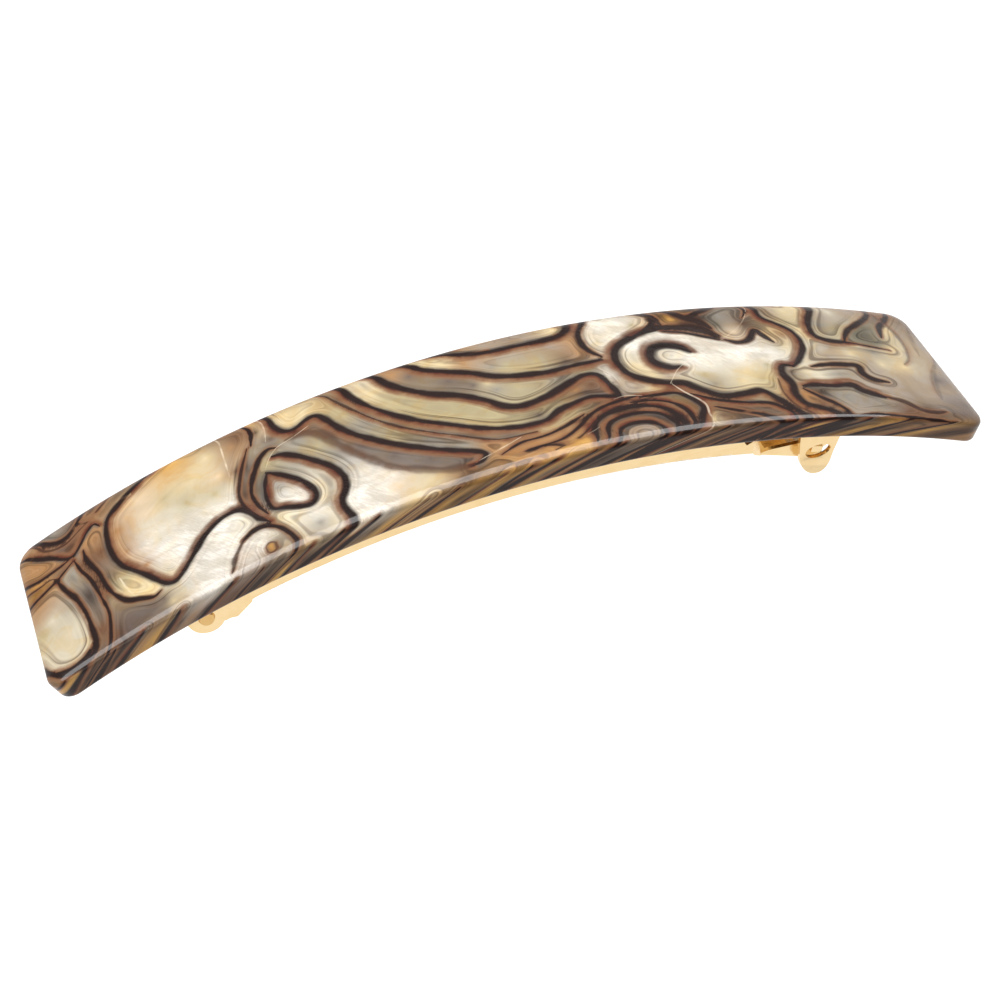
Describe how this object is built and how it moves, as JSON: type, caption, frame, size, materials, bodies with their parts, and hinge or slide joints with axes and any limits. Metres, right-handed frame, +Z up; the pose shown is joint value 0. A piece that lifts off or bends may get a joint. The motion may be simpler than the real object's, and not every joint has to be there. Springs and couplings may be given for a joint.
{
  "type": "hair barrette",
  "caption": "Long narrow arched barrette: a shell-patterned acetate plate with a hinged French clip riveted to its back.",
  "frame": {"origin": "under the crown of the plate, on its two middle planes, level with the lowest points of the pinch wings", "axes": "+X along the barrette from the hinge end to the clasp end, +Y across it, +Z up through the crown of the plate"},
  "size_m": [0.0962, 0.0208, 0.0157],
  "materials": {
    "acetate": "polished cellulose acetate with a brown, cream and grey shell pattern",
    "clip_gold": "polished light gold plating",
    "spring_gold": "polished light gold plating on spring strip",
    "pin_gold": "polished gold plating, peened heads"
  },
  "bodies": {
    "base_body": {"plate": "acetate", "clip_base": "clip_gold", "hinge_pin": "pin_gold", "rivets": "pin_gold"},
    "arm_body": {"clasp_arm": "clip_gold"},
    "bar_body": {"tension_bar": "spring_gold"}
  },
  "joints": [
    {"name": "arm_hinge", "type": "hinge", "parent": "base_body", "child": "arm_body", "pos_m": [-0.032, 0, 0.003], "axis": [0, 1, 0], "range_deg": [0, 85]},
    {"name": "tension_bar_lift", "type": "hinge", "parent": "base_body", "child": "bar_body", "pos_m": [-0.032, 0, 0.003], "axis": [0, 1, 0], "range_deg": [0, 6.8]}
  ],
  "couplings": [
    {"joint": "tension_bar_lift", "follows": "arm_hinge", "ratio": 0.08}
  ]
}
